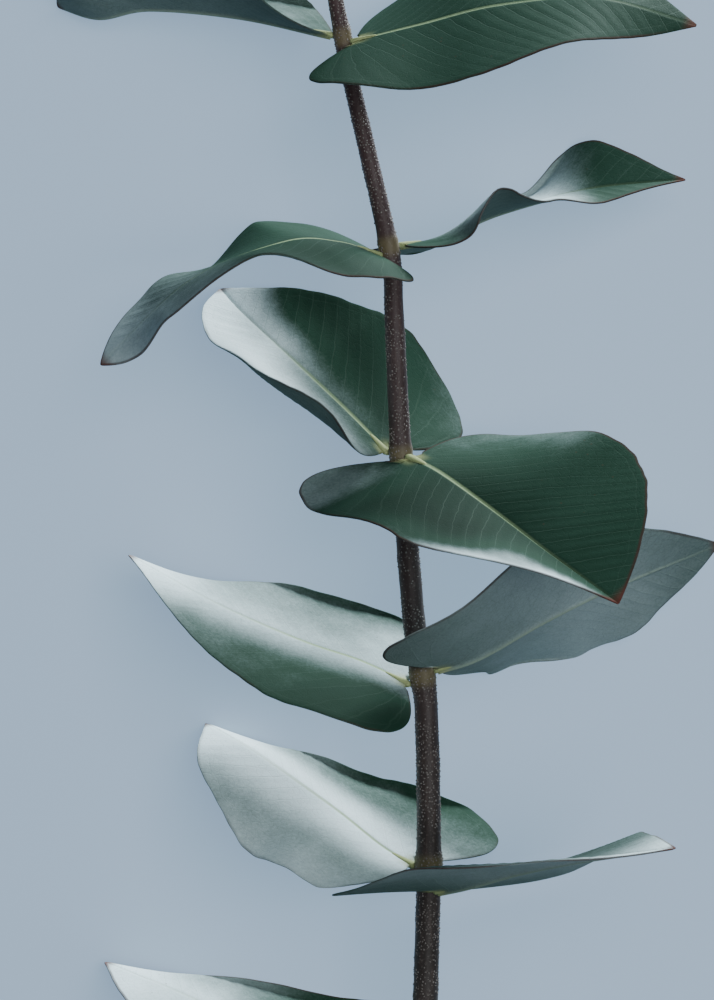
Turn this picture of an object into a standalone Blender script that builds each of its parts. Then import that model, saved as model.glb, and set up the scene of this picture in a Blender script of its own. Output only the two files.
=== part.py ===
"""A cut branch of silver dollar eucalyptus, laid down on a table.

+Y runs along the stem from the cut end to the growing tip, +Z is up and the table is at z = 0.
The stem lies a little above the table, carried by the leaves that point down.
Leaves grow in opposite pairs at the stem's joints, which are numbered from the cut end.
"""
import math
import random

import bmesh
import bpy
import numpy as np

# Every size below is in millimetres. MM turns it into metres when a mesh is made.
MM = 0.001

# Where the middle of the branch's box is, so that the origin is under it.
BOX_MIDDLE = (4.6, 33.4)

STEM_HEIGHT = 19.5
SEAT_GAP = 0.3
LOBE_GAP = 0.95
STEM_SIDES = 12
STEM_SAMPLES = 401
CURVE_STEPS = 24
CUT_SLOPE = 0.55
END_ROUNDING = 0.5
JOINT_SWELLING = 0.16
JOINT_SWELLING_LENGTH = 2.4
# The stem has a ring of points at every so many samples, closer together near a joint.
RING_STEP = 12
JOINT_RING_STEP = 3
JOINT_RING_REACH = 1.4

LEAF_THICKNESS = 0.65
SMALL_LEAF_THICKNESS = 0.6
SMALL_LEAVES_FROM = 9
MIDRIB_SAMPLES = 65
BEND_STEPS = 12
ROWS_CLOSER_AT_STALK = 1.3
COLUMNS_CLOSER_AT_EDGE = 1.5
RIPPLE_FADE = 0.15
# A leaf touches its stalk only within these shares of its half width and of its length.
STALK_ACROSS = 0.08
STALK_ALONG = 0.04
LAY_FLAT_OVER = 0.9

# Stem centre line: across, along and above the stem's height, from the cut end up.
STEM_PATH = (
    (13.0, -141.0, -4.0),
    (12.0, -118.0, -1.5),
    (11.4, -97.0, 0.0),
    (12.2, -62.0, 0.0),
    (11.9, -39.0, 0.0),
    (11.2, -30.0, 0.0),
    (9.7, -20.5, 0.0),
    (7.5, 7.5, 0.0),
    (6.3, 32.0, 0.0),
    (5.4, 43.0, 0.0),
    (-0.7, 70.0, 0.0),
    (-2.4, 78.5, 0.0),
    (-8.8, 112.0, -0.5),
    (-15.5, 141.0, -1.5),
    (-22.0, 164.0, -3.0),
    (-27.5, 181.0, -5.0),
    (-31.5, 193.0, -6.5),
    (-33.5, 200.0, -7.5),
)

# Stem radius at some places along it, from the cut end up.
RADIUS_ALONG = (-141.0, -85.0, 0.0, 80.0, 120.0, 165.0, 200.0)
RADIUS_THERE = (2.3, 2.15, 1.85, 1.35, 1.1, 0.85, 0.6)

# Where each joint is along the stem. The lowest one has lost its leaves.
BARE_JOINT = -122.0
JOINTS = {
    1: -97.0,
    2: -62.0,
    3: -30.0,
    4: 7.5,
    5: 43.0,
    6: 78.5,
    7: 112.0,
    8: 141.0,
    9: 164.0,
    10: 181.0,
    11: 193.0,
}

# Half of a flat leaf's edge as two Bezier curves, in shares of the length and of the half width.
# The first runs from the stalk round the heart-shaped lobe to the widest place, the second to the tip.
# BLUNT_SHIFT moves the second curve's last bend outward for a leaf with a round tip.
LOBE_CURVE = ((0.0, 0.04), (-0.04, 0.30), (-0.22, 1.0))
TIP_CURVE = ((0.82, 0.34), (1.0, 0.012))
BLUNT_SHIFT = (0.15, 0.30)
SHOULDER = 0.30
LOBE_SHARE = 0.42
WIDEST = 0.26

# Rows along a leaf and columns on each half: the large leaves, the upper pairs and their smallest.
LARGE_GRID = (13, 4)
UPPER_GRID = (11, 3)
SMALL_GRID = (9, 2)
SMALL_GRID_FROM = 10

# The large leaves, as they lie in the photograph.
# "midrib": points from the joint's centre out to the tip, as across, along and up.
# "roll": how far the blade is turned about its midrib, in degrees, from the stalk to the tip.
# "left" and "right": each half's lift from the flat and its bend towards the edge, in degrees,
# from the stalk to the tip. The halves are named as seen from the stem, looking out along the leaf.
# "widest": where the leaf is widest, as a share of its length.
# "lobes": how far the left and the right lobe reach back past the stalk, as shares of a full lobe.
# A base that narrows to the stalk has a negative share. "blunt": how round the tip is, from 0 to 1.
# A leaf may also have "up", the way its upper face looks at the stalk, along the stem if it isn't given,
# and "wave", a ripple of the edges: its height, its waves along the leaf and where they start.
LARGE_LEAVES = {
    "leaf_1_left": {
        "joint": 1, "width": 46.0, "lobes": (0.6, 1.0),
        "midrib": ((-2, 0.5, 0), (-16, 2.5, -2), (-30, 7, -6), (-44, 12.5, -10), (-55.5, 16, -17)),
        "roll": (-30, -30, -25),
        "left": ((20, 10), (15, 0), (5, 0)),
        "right": ((-10, 0), (-15, 0), (-20, 0)),
    },
    "leaf_1_right": {
        "joint": 1, "width": 45.0, "lobes": (0.3, 0.2),
        "midrib": ((2, -1, 1), (13, -4, 5), (26, -8, 9), (38, -11, 11), (49, -15, 10)),
        "roll": (14, 8, 2),
        "left": ((12, 0), (8, 0), (4, 0)),
        "right": ((8, -6), (4, -8), (0, -6)),
    },
    "leaf_2_left": {
        "joint": 2, "width": 46.0, "widest": 0.20, "lobes": (0.0, 1.9),
        "midrib": ((-2, -0.2, -1), (-8, 2.8, -3), (-16.5, 9.4, -5), (-30, 18.5, -10), (-38.7, 22.7, -20)),
        "roll": (-30, -35, -35),
        "left": ((21, 0), (17, 0), (4, 0), (4, 0), (10, 0)),
        "right": ((-8, 0), (-28, 0), (-35, 0)),
    },
    "leaf_2_right": {
        "joint": 2, "width": 47.0, "lobes": (0.3, 1.6),
        "midrib": ((1, -4.3, 2), (6.5, -2.6, 8), (14.5, 0.8, 18), (23.5, 4, 30), (37.5, 7.5, 44)),
        "roll": (-6, -6, 0, 6),
        "left": ((6, 0), (13, 0), (14, 0)),
        "right": ((5, -16), (6, -12), (0, 0)),
    },
    "leaf_3_left": {
        "joint": 3, "width": 45.0, "lobes": (0.95, 0.7),
        "midrib": ((-2, -0.9, 0), (-10.5, 2.5, -1), (-21, 6, -3), (-36, 12.5, -5), (-50.5, 20.5, -8)),
        "roll": (-22, -22, -16),
        "left": ((1, -5), (1, -5), (1, -5)),
        "right": ((0, 0), (0, 0), (-12, 0)),
    },
    "leaf_3_right": {
        "joint": 3, "width": 46.0, "widest": 0.34, "lobes": (0.3, 1.45), "blunt": 0.3,
        "midrib": ((2, 0.8, 1), (9.5, 3.5, 2), (20.5, 9.5, 1), (33, 15.5, 0), (50.5, 22.5, -2)),
        "roll": (-37, -37, -25),
        "left": ((30, 0), (28, 0), (16, 0), (2, 0), (-8, 0)),
        "right": ((-19, 0), (-8, 0), (0, 0)),
    },
    "leaf_4_left": {
        "joint": 4, "width": 46.0, "lobes": (0.1, 1.3), "blunt": 0.15,
        "midrib": ((-2, 0.9, 0), (-9.5, 8, -4), (-19, 17, -8), (-27.5, 25, -13), (-31.5, 29.5, -18)),
        "roll": (-40, -40, -40),
        "left": ((22, 62), (16, 50), (12, 0)),
        "right": ((-15, 0), (0, 0), (15, 0)),
    },
    "leaf_4_right": {
        "joint": 4, "width": 50.0, "widest": 0.45, "lobes": (1.0, 2.0), "blunt": 0.5,
        "midrib": ((2, -0.4, 1), (6.5, -3, 8), (14.5, -9, 17), (24, -16.5, 27), (34, -24, 36)),
        "roll": (22, 33, 33),
        "left": ((-9, 0), (2, 0), (8, 0)),
        "right": ((0, 0), (30, 0), (48, 0)),
    },
    "leaf_5_left": {
        "joint": 5, "width": 42.0, "lobes": (0.7, 0.1), "blunt": 0.4,
        "midrib": ((-2, -1, 1), (-8.5, 0.5, 4), (-17.5, 0.2, 8), (-33, -6.5, 12), (-48, -20.5, 12)),
        "roll": (-8, -8, -8),
        "left": ((-10, -5), (-9, -8), (8, 0), (2, 0), (-30, 0)),
        "right": ((8, 0), (4, 0), (-11, 0), (2, 0), (16, 0)),
    },
    "leaf_5_right": {
        "joint": 5, "width": 42.0, "lobes": (0.2, 0.5),
        "midrib": ((2, 0, -1), (9, 2, -4), (19, 6.5, -7), (34.5, 10.5, -8), (51, 12, -6)),
        "roll": (3, 0, 2, 32, 15),
        "left": ((-3, 0), (-10, 0), (-1, 0), (10, 8), (20, 20)),
        "right": ((-2, 0), (15, 0), (4, 0), (22, 0), (10, 0)),
    },
    "leaf_6_left": {
        "joint": 6, "width": 44.0, "lobes": (-1.0, -0.9), "blunt": 0.7,
        "midrib": ((-2, 1, -1), (-17.5, 4.5, -5), (-33.5, 6.5, -10), (-42.5, 5.5, -14), (-50, 8, -18)),
        "roll": (-14, -20, -20),
        "left": ((10, 20), (36, 20), (40, 20)),
        "right": ((0, 0), (0, 0), (0, 0)),
    },
    "leaf_6_right": {
        "joint": 6, "width": 47.0, "widest": 0.36, "lobes": (0.2, 1.2),
        "midrib": ((2, -1, 1), (13, 1.5, 5), (26, 4, 10), (42.5, 4.5, 14), (58.5, 0, 15)),
        "roll": (28, 39, 24, 40),
        "left": ((0, 0), (0, 0), (0, 0)),
        "right": ((0, 0), (0, 0), (-10, 0), (-14, 0)),
    },
}

# The pairs above them grow smaller and more upright towards the tip.
# For each joint: length, width, rise above the stem's square plane and turn about the stem,
# both in degrees. A positive turn brings the left leaf forward and takes the right one back.
UPPER_PAIRS = {
    7: (47.0, 38.0, 26.0, 34.0),
    8: (38.0, 30.0, 32.0, -40.0),
    9: (29.0, 21.0, 38.0, 38.0),
    10: (20.0, 13.0, 44.0, -36.0),
    11: (12.0, 6.5, 50.0, 36.0),
}
UPPER_ARCH = 34.0
UPPER_BITS = 4
UPPER_LOBE = -0.5
# What differs from leaf to leaf there: turn about the stem, each half's lift and bend, roll,
# and the ripple's waves along the leaf and their start. The youngest leaves are nearly flat.
UPPER_SEED = 11
TURN_RANGE = (-6.0, 6.0)
LIFT_RANGE = (8.0, 16.0)
YOUNG_LIFT = 0.2
BEND_RANGE = (-10.0, 4.0)
ROLL_RANGE = (-8.0, 8.0)
RIPPLE_HEIGHT = 0.018
RIPPLE_WAVES = (1.4, 2.2)
RIPPLE_START = (0.0, 6.0)

BUD_LENGTH = 9.0
BUD_WIDTH = 3.0
BUD_DEPTH = 1.8
BUD_SIDES = 10
BUD_RINGS = 8
# A spindle is a sine curve; these make it fuller and move its widest place towards the base.
BUD_FULLNESS = 0.8
BUD_WIDEST_LOW = 0.75

LEAF_COLOUR = (0.105, 0.175, 0.150, 1.0)
STEM_COLOUR = (0.060, 0.038, 0.034, 1.0)
BUD_COLOUR = (0.190, 0.270, 0.220, 1.0)


def unit(vectors):
    """Vectors at length one."""
    return vectors / np.linalg.norm(vectors, axis=-1, keepdims=True)


def smooth_path(points, count):
    """A Catmull-Rom curve through the points, read at evenly spaced places, and its length."""
    knots = np.array(points, float)
    knots = np.vstack([2 * knots[0] - knots[1], knots, 2 * knots[-1] - knots[-2]])
    fine = []
    for a, b, c, d in zip(knots, knots[1:], knots[2:], knots[3:]):
        for t in np.linspace(0.0, 1.0, CURVE_STEPS, endpoint=False):
            cubic = (3 * b - a - 3 * c + d) * t**3
            fine.append(0.5 * (2 * b + (c - a) * t + (2 * a - 5 * b + 4 * c - d) * t**2 + cubic))
    fine.append(knots[-2])
    fine = np.array(fine)
    run = np.concatenate([[0.0], np.cumsum(np.linalg.norm(np.diff(fine, axis=0), axis=1))])
    places = np.linspace(0.0, run[-1], count)
    return np.stack([np.interp(places, run, fine[:, k]) for k in range(3)], axis=1), run[-1]


def keyed(values, share):
    """Values given from the stalk to the tip, joined smoothly and read at shares of the length."""
    values = np.array(values, float)
    place = np.clip(share, 0.0, 1.0) * (len(values) - 1)
    index = np.minimum(place.astype(int), len(values) - 2)
    step = place - index
    step = step * step * (3.0 - 2.0 * step)
    return values[index] * (1.0 - step) + values[index + 1] * step


def bezier(points, t):
    """A cubic Bezier curve's points."""
    a, b, c, d = np.array(points, float)
    t = t[:, None]
    return (1 - t) ** 3 * a + 3 * (1 - t) ** 2 * t * b + 3 * (1 - t) * t**2 * c + t**3 * d


def leaf_edge(place, widest, lobe_reach, blunt):
    """The flat leaf's edge from the stalk (0) round to the tip (1), as along and across."""
    turn = (widest, 1.0)
    curve = [(along * lobe_reach, across) for along, across in LOBE_CURVE]
    lobe = bezier(curve + [turn], np.clip(place / LOBE_SHARE, 0.0, 1.0))
    shoulder = (widest + SHOULDER, 1.0)
    nearing = tuple(near + blunt * shift for near, shift in zip(TIP_CURVE[0], BLUNT_SHIFT))
    past_lobe = (place - LOBE_SHARE) / (1.0 - LOBE_SHARE)
    tip = bezier((turn, shoulder, nearing, TIP_CURVE[1]), np.clip(past_lobe, 0.0, 1.0))
    return np.where((place < LOBE_SHARE)[:, None], lobe, tip)


def stem_line():
    """The stem's centre line and its radius along it, with a swelling at each joint."""
    line = smooth_path([(x, y, z + STEM_HEIGHT) for x, y, z in STEM_PATH], STEM_SAMPLES)[0]
    radius = np.interp(line[:, 1], RADIUS_ALONG, RADIUS_THERE)
    swelling = np.zeros(len(line))
    for along in [BARE_JOINT, *JOINTS.values()]:
        swelling = np.maximum(swelling, np.exp(-(((line[:, 1] - along) / JOINT_SWELLING_LENGTH) ** 2)))
    return line, radius * (1.0 + JOINT_SWELLING * swelling)


class Blade:
    """A leaf's middle surface, bent along its midrib and across each half."""

    def __init__(self, leaf, stem):
        self.stem_line, self.stem_radius = line, radius = stem
        height = JOINTS[leaf["joint"]]
        self.joint = np.array([np.interp(height, line[:, 1], line[:, k]) for k in range(3)])
        nearest = np.abs(line[:, 1] - height).argmin()
        stem_way = unit(line[nearest + 1] - line[nearest - 1])
        offsets = np.array(leaf["midrib"], float)
        start = unit(offsets[1] - offsets[0])
        outward = unit(offsets[1] - offsets[1] @ stem_way * stem_way)
        reach = radius[nearest] + SEAT_GAP + abs(start @ stem_way) * LEAF_THICKNESS / 2
        offsets[0] = outward * reach + stem_way * offsets[0][1]
        self.path, self.length = smooth_path(self.joint + offsets, MIDRIB_SAMPLES)
        self.tangent = unit(np.gradient(self.path, axis=0))
        normals = [np.array(leaf.get("up", (0.0, 1.0, 0.0)))]
        for tangent in self.tangent:
            normals.append(unit(normals[-1] - normals[-1] @ tangent * tangent))
        self.normal = np.array(normals[1:])
        self.leaf = leaf
        self.half_width = leaf["width"] / 2.0

    def points(self, along, across, side):
        """Points at shares of the length and of the half width, on the left (-1) or right (1) half."""
        share = np.clip(along, 0.0, 1.0)
        place = share * (len(self.path) - 1)
        index = np.minimum(place.astype(int), len(self.path) - 2)
        step = (place - index)[..., None]
        middle = self.path[index] * (1 - step) + self.path[index + 1] * step
        middle = middle + np.minimum(along, 0.0)[..., None] * self.length * self.tangent[0]
        tangent = unit(self.tangent[index] * (1 - step) + self.tangent[index + 1] * step)
        normal = unit(self.normal[index] * (1 - step) + self.normal[index + 1] * step)
        sideways = np.cross(tangent, normal)
        roll = np.radians(keyed(self.leaf["roll"], share))[..., None]
        up = normal * np.cos(roll) + sideways * np.sin(roll)
        out = (sideways * np.cos(roll) - normal * np.sin(roll)) * side
        half = self.leaf["right" if side > 0 else "left"]
        lift = np.radians(keyed([pair[0] for pair in half], share))
        bend = np.radians(keyed([pair[1] for pair in half], share))
        bent = np.zeros(middle.shape)
        width = (across * self.half_width / BEND_STEPS)[..., None]
        for k in range(BEND_STEPS):
            angle = (lift + bend * (k + 0.5) / BEND_STEPS * across)[..., None]
            bent += (np.cos(angle) * out + np.sin(angle) * up) * width
        angle = (lift + bend * across)[..., None]
        facing = np.cos(angle) * up - np.sin(angle) * out
        height, waves, start = self.leaf.get("wave", (0.0, 0.0, 0.0))
        ripple = height * across**2 * np.sin(2 * np.pi * waves * along + start + side)
        ripple = ripple * np.clip((1.0 - along) / RIPPLE_FADE, 0.0, 1.0)
        off_stalk = np.clip(np.maximum(across / STALK_ACROSS, along / STALK_ALONG), 0.0, 1.0)
        return self.settle(self.clear_of_stem(middle + bent + facing * ripple[..., None], off_stalk))

    def clear_of_stem(self, points, off_stalk):
        """Points too near the stem are moved straight out from it, less at the stalk (0) than off it (1)."""
        apart = points[..., None, :] - self.stem_line
        distance = np.linalg.norm(apart, axis=-1)
        nearest = distance.argmin(-1)
        wanted = self.stem_radius[nearest] + SEAT_GAP + (LEAF_THICKNESS / 2 + LOBE_GAP) * off_stalk
        centre = self.stem_line[nearest]
        moved = centre + unit(points - centre) * wanted[..., None]
        return np.where((distance.min(-1) < wanted)[..., None], moved, points)

    def settle(self, points):
        """What would reach below the table bends to lie flat on it."""
        height = points[..., 2] - LEAF_THICKNESS / 2
        soft = (height + LAY_FLAT_OVER) ** 2 / (4 * LAY_FLAT_OVER)
        laid = np.where(height < -LAY_FLAT_OVER, 0.0, np.where(height > LAY_FLAT_OVER, height, soft))
        points[..., 2] = laid + LEAF_THICKNESS / 2
        return points

    def grid(self, rows, columns):
        """Rows of points from the left edge over the midrib to the right edge, stalk to tip."""
        place = np.linspace(0.0, 1.0, rows)
        middle = place**ROWS_CLOSER_AT_STALK
        share = 1.0 - np.linspace(1.0, 0.0, columns + 1) ** COLUMNS_CLOSER_AT_EDGE
        halves = []
        for side, reach in zip((-1, 1), self.leaf.get("lobes", (1.0, 1.0))):
            edge = leaf_edge(place, self.leaf.get("widest", WIDEST), reach, self.leaf.get("blunt", 0.0))
            along = middle[:, None] * (1 - share) + edge[:, :1] * share
            halves.append(self.points(along, edge[:, 1:] * share, side))
        return np.concatenate([halves[0][:, :0:-1], halves[1]], axis=1)


def upper_leaf(joint, side, stem, chance):
    """A leaf of one of the upper pairs, which follow a rule."""
    length, width, rise, turn = UPPER_PAIRS[joint]
    turn = math.radians(turn + chance.uniform(*TURN_RANGE))
    line = stem[0]
    nearest = np.abs(line[:, 1] - JOINTS[joint]).argmin()
    up = unit(line[nearest + 1] - line[nearest - 1])
    across = unit(np.cross(up, (0.0, 0.0, 1.0)))
    outward = side * (across * math.cos(turn) - np.cross(across, up) * math.sin(turn))
    points = [np.zeros(3)]
    for k in range(UPPER_BITS):
        angle = math.radians(rise + UPPER_ARCH * (0.5 - k / (UPPER_BITS - 1)))
        step = outward * math.cos(angle) + up * math.sin(angle)
        points.append(points[-1] + step * length / UPPER_BITS)
    lift = chance.uniform(*LIFT_RANGE) * (YOUNG_LIFT if joint >= SMALL_LEAVES_FROM else 1.0)
    bend = chance.uniform(*BEND_RANGE)
    return {
        "joint": joint, "width": width, "midrib": [tuple(point) for point in points],
        "up": tuple(up), "lobes": (UPPER_LOBE, UPPER_LOBE),
        "roll": (chance.uniform(*ROLL_RANGE), chance.uniform(*ROLL_RANGE)),
        "left": ((lift, bend), (lift, bend)), "right": ((lift, bend), (lift, bend)),
        "wave": (width * RIPPLE_HEIGHT, chance.uniform(*RIPPLE_WAVES), chance.uniform(*RIPPLE_START)),
    }


def material(name, colour, roughness):
    """A plain Principled material."""
    made = bpy.data.materials.new(name)
    made.use_nodes = True
    shader = made.node_tree.nodes["Principled BSDF"]
    shader.inputs["Base Color"].default_value = colour
    shader.inputs["Roughness"].default_value = roughness
    shader.inputs["Metallic"].default_value = 0.0
    return made


def new_object(name, points, faces, location, finish, parent):
    """A mesh object whose points are in millimetres from its location."""
    mesh = bpy.data.meshes.new(name)
    mesh.from_pydata([tuple((point - location) * MM) for point in points], [], faces)
    mesh.materials.append(finish)
    mesh.shade_smooth()
    made = bpy.data.objects.new(name, mesh)
    made.location = location * MM
    made.parent = parent
    bpy.context.scene.collection.objects.link(made)
    return made


def face_outward(mesh):
    """Turns every face of a closed mesh outward."""
    shape = bmesh.new()
    shape.from_mesh(mesh)
    bmesh.ops.recalc_face_normals(shape, faces=shape.faces)
    shape.to_mesh(mesh)
    shape.free()


def make_leaf(name, leaf, stem, finish, parent, rows, columns):
    """One blade: its middle surface in triangles, thickened alike on both faces."""
    blade = Blade(leaf, stem)
    grid = blade.grid(rows, columns)
    across = grid.shape[1]
    faces = []
    for i in range(rows - 1):
        for j in range(across - 1):
            a = i * across + j
            b, c, d = a + 1, a + across + 1, a + across
            faces.extend(((a, b, c), (a, c, d)) if j < columns else ((a, b, d), (b, c, d)))
    made = new_object(name, grid.reshape(-1, 3), faces, blade.joint, finish, parent)
    thick = made.modifiers.new("Thickness", "SOLIDIFY")
    small = leaf["joint"] >= SMALL_LEAVES_FROM
    thick.thickness = (SMALL_LEAF_THICKNESS if small else LEAF_THICKNESS) * MM
    thick.offset = 0.0


def make_stem(stem, finish, parent):
    """The tapering stem, cut at a slant below and closed by a round end above."""
    line, radius = stem
    away = np.min([np.abs(line[:, 1] - along) for along in (BARE_JOINT, *JOINTS.values())], axis=0)
    keep = [0]
    for k in range(1, len(line) - 1):
        near = away[k] < JOINT_RING_REACH * JOINT_SWELLING_LENGTH
        if k % (JOINT_RING_STEP if near else RING_STEP) == 0:
            keep.append(k)
    keep.append(len(line) - 1)
    tangent = unit(np.gradient(line, axis=0))
    rings = []
    for k in keep:
        side = unit(np.cross(tangent[k], (0.0, 0.0, 1.0)))
        rise = np.cross(side, tangent[k])
        turn = np.linspace(0.0, 2 * np.pi, STEM_SIDES, endpoint=False)
        ring = line[k] + radius[k] * (np.outer(np.cos(turn), side) + np.outer(np.sin(turn), rise))
        if k == 0:
            ring = ring + np.outer(np.cos(turn) * radius[k] * CUT_SLOPE, tangent[k])
        rings.append(ring)
    points = np.concatenate(rings + [line[-1:] + tangent[-1:] * radius[-1] * END_ROUNDING])
    faces = [tuple(range(STEM_SIDES))]
    for i in range(len(rings) - 1):
        for j in range(STEM_SIDES):
            a, b = i * STEM_SIDES + j, i * STEM_SIDES + (j + 1) % STEM_SIDES
            faces.append((a, b, b + STEM_SIDES, a + STEM_SIDES))
    last = (len(rings) - 1) * STEM_SIDES
    for j in range(STEM_SIDES):
        faces.append((last + j, last + (j + 1) % STEM_SIDES, len(points) - 1))
    face_outward(new_object("stem", points, faces, line[0], finish, parent).data)


def make_bud(stem, finish, parent):
    """The growing tip: two leaves still folded together, as one flattened spindle."""
    line, radius = stem
    tangent = unit(line[-1] - line[-2])
    side = unit(np.cross(tangent, (0.0, 0.0, 1.0)))
    rise = np.cross(side, tangent)
    base = line[-1] + tangent * (radius[-1] * END_ROUNDING + SEAT_GAP)
    points = [base]
    for i in range(1, BUD_RINGS):
        share = i / BUD_RINGS
        swell = math.sin(math.pi * share**BUD_WIDEST_LOW) ** BUD_FULLNESS
        for j in range(BUD_SIDES):
            turn = 2 * math.pi * j / BUD_SIDES
            offset = side * math.cos(turn) * BUD_WIDTH + rise * math.sin(turn) * BUD_DEPTH
            points.append(base + tangent * BUD_LENGTH * share + offset * swell / 2)
    points.append(base + tangent * BUD_LENGTH)
    faces = []
    for j in range(BUD_SIDES):
        following = (j + 1) % BUD_SIDES
        faces.append((0, 1 + j, 1 + following))
        for i in range(BUD_RINGS - 2):
            a, b = 1 + i * BUD_SIDES + j, 1 + i * BUD_SIDES + following
            faces.append((a, b, b + BUD_SIDES, a + BUD_SIDES))
        top = 1 + (BUD_RINGS - 2) * BUD_SIDES
        faces.append((top + j, top + following, len(points) - 1))
    face_outward(new_object("tip_bud", np.array(points), faces, base, finish, parent).data)


def main():
    for thing in list(bpy.data.objects):
        bpy.data.objects.remove(thing, do_unlink=True)
    branch = bpy.data.objects.new("branch_frame", None)
    branch.location = (-BOX_MIDDLE[0] * MM, -BOX_MIDDLE[1] * MM, 0.0)
    bpy.context.scene.collection.objects.link(branch)
    leaf_finish = material("Waxy leaf", LEAF_COLOUR, 0.55)
    stem_finish = material("Brown bark", STEM_COLOUR, 0.6)
    bud_finish = material("Young leaf", BUD_COLOUR, 0.55)
    stem = stem_line()
    make_stem(stem, stem_finish, branch)
    for name, leaf in LARGE_LEAVES.items():
        make_leaf(name, leaf, stem, leaf_finish, branch, *LARGE_GRID)
    chance = random.Random(UPPER_SEED)
    for joint in UPPER_PAIRS:
        rows, columns = SMALL_GRID if joint >= SMALL_GRID_FROM else UPPER_GRID
        for side, word in ((-1, "left"), (1, "right")):
            leaf = upper_leaf(joint, side, stem, chance)
            make_leaf(f"leaf_{joint}_{word}", leaf, stem, leaf_finish, branch, rows, columns)
    make_bud(stem, bud_finish, branch)
    bpy.context.view_layer.update()


main()
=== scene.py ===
"""The looks of a cut branch of silver dollar eucalyptus, lying on a pale table.

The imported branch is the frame. Each leaf is made again as a fine waxy blade with its midrib and veins,
and the stem as a bark tube with glands. Sizes are in millimetres until a mesh is made.
"""
import math
import random

import bmesh
import bpy
import numpy as np
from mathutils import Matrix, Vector


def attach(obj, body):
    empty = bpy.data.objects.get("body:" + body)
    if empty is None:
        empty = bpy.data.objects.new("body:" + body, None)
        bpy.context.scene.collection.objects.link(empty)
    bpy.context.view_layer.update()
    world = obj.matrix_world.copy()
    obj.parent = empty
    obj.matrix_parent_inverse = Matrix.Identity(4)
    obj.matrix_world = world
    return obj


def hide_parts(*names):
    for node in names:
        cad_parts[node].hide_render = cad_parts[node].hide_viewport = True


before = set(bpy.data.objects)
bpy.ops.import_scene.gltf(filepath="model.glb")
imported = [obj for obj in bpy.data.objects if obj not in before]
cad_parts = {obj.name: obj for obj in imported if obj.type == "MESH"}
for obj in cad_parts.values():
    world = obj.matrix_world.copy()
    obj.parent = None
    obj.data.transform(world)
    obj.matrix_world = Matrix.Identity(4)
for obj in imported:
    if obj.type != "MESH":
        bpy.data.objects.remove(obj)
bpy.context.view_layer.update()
MM = 0.001

# The branch's shape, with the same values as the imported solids.
BOX_MIDDLE = (4.6, 33.4)
STEM_HEIGHT = 19.5
SEAT_GAP = 0.3
LOBE_GAP = 0.95
STEM_SAMPLES = 401
CUT_SLOPE = 0.55
JOINT_SWELLING = 0.16
JOINT_SWELLING_LENGTH = 2.4
LEAF_THICKNESS = 0.65
LAY_FLAT_OVER = 0.9
WAVE_SEED = 11

STEM_PATH = (
    (13.0, -141.0, -4.0),
    (12.0, -118.0, -1.5),
    (11.4, -97.0, 0.0),
    (12.2, -62.0, 0.0),
    (11.9, -39.0, 0.0),
    (11.2, -30.0, 0.0),
    (9.7, -20.5, 0.0),
    (7.5, 7.5, 0.0),
    (6.3, 32.0, 0.0),
    (5.4, 43.0, 0.0),
    (-0.7, 70.0, 0.0),
    (-2.4, 78.5, 0.0),
    (-8.8, 112.0, -0.5),
    (-15.5, 141.0, -1.5),
    (-22.0, 164.0, -3.0),
    (-27.5, 181.0, -5.0),
    (-31.5, 193.0, -6.5),
    (-33.5, 200.0, -7.5),
)
RADIUS_ALONG = (-141.0, -85.0, 0.0, 80.0, 120.0, 165.0, 200.0)
RADIUS_THERE = (2.3, 2.15, 1.85, 1.35, 1.1, 0.85, 0.6)

BARE_JOINT = -122.0
JOINTS = {
    1: -97.0,
    2: -62.0,
    3: -30.0,
    4: 7.5,
    5: 43.0,
    6: 78.5,
    7: 112.0,
    8: 141.0,
    9: 164.0,
    10: 181.0,
    11: 193.0,
}

LOBE_CURVE = ((0.0, 0.04), (-0.04, 0.30), (-0.22, 1.0))
TIP_CURVE = ((0.82, 0.34), (1.0, 0.012))
BLUNT_SHIFT = (0.15, 0.30)
SHOULDER = 0.30
LOBE_SHARE = 0.42

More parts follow.
